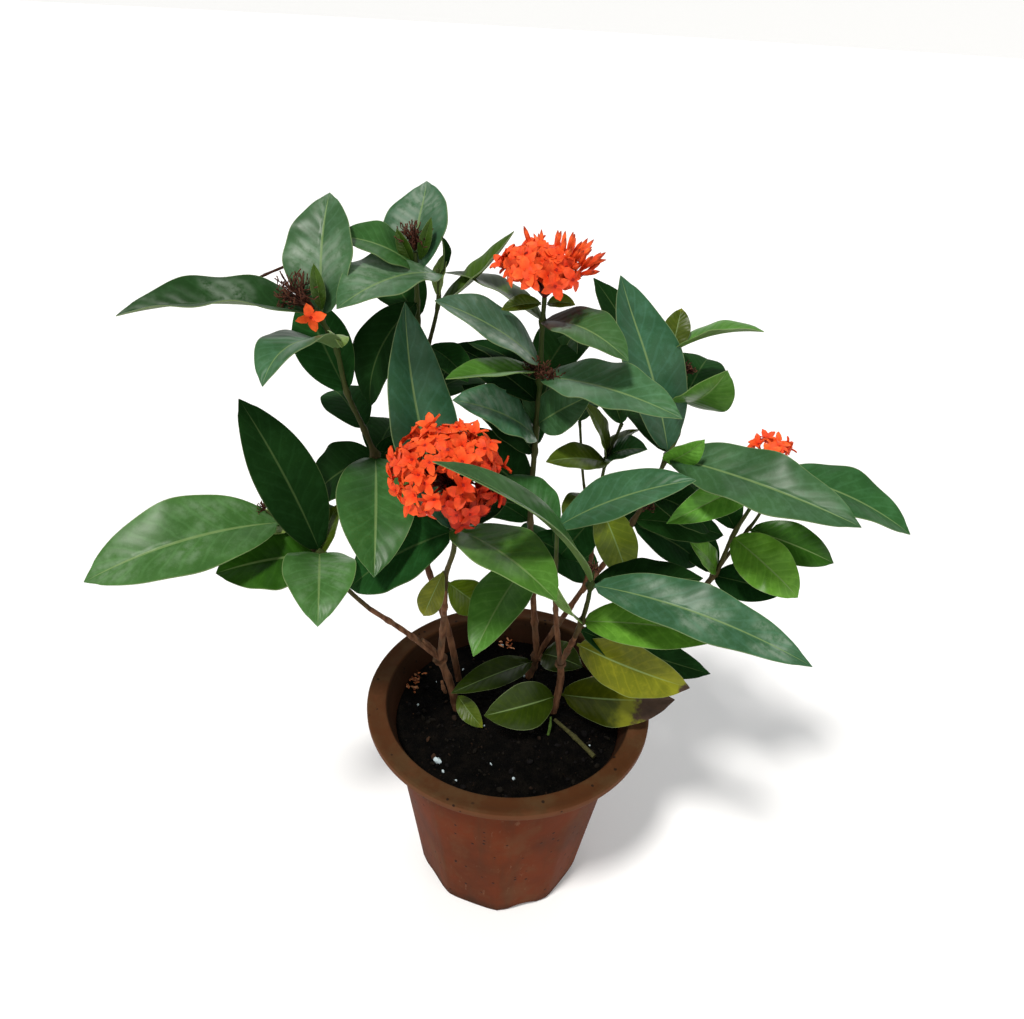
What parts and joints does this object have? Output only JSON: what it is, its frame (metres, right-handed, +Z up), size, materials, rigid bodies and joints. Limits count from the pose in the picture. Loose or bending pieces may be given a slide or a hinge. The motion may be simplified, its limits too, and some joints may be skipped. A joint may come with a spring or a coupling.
{
  "type": "potted ixora",
  "caption": "Bushy flowering ixora with glossy pointed leaves and orange-red flower heads, rooted in a brown plastic pot that stands on a flat surface.",
  "frame": {"origin": "middle of the flat ring and pad that the pot stands on, at floor level", "axes": "+Z up through the middle of the pot, -Y to the plant's front, +X to its right as seen from the front"},
  "size_m": [0.5067, 0.2354, 0.5425],
  "materials": {
    "pot_plastic": "weathered satin moulded plastic",
    "potting_soil": "loose moist compost, matte",
    "bark": "thin brown bark, matte",
    "green_leaf": "smooth waxy leaf, glossy above",
    "old_leaf": "yellowing leaf with brown patches",
    "petal": "soft matte petal",
    "dried_stalk": "dry flower stalks, matte"
  },
  "bodies": {
    "root": {"pot": "pot_plastic", "soil": "potting_soil", "stem_left": "bark", "stem_back_left": "bark", "stem_middle": "bark", "stem_front_right": "bark", "stem_far_right": "bark", "shoot_upper_left": "green_leaf", "shoot_top": "green_leaf", "shoot_centre": "green_leaf", "shoot_right": "green_leaf", "shoot_slender": "green_leaf", "shoot_low_front": "green_leaf", "shoot_front_right": "green_leaf", "shoot_front": "green_leaf", "shoot_left": "green_leaf", "shoot_far_right": "green_leaf", "old_leaf_yellow": "old_leaf", "old_leaf_spotted": "old_leaf", "old_leaf_low_front": "old_leaf", "old_leaf_low_small": "old_leaf", "old_leaf_low_middle": "old_leaf", "old_leaf_brown": "old_leaf", "old_leaf_left": "old_leaf", "old_leaf_inner": "old_leaf", "flower_head_top": "petal", "flower_head_front": "petal", "flower_head_right": "petal", "flower_single": "petal", "dried_head_left": "dried_stalk", "dried_head_top": "dried_stalk", "dried_head_right": "dried_stalk", "dried_head_front": "dried_stalk", "dried_head_low_left": "dried_stalk"}
  },
  "joints": []
}
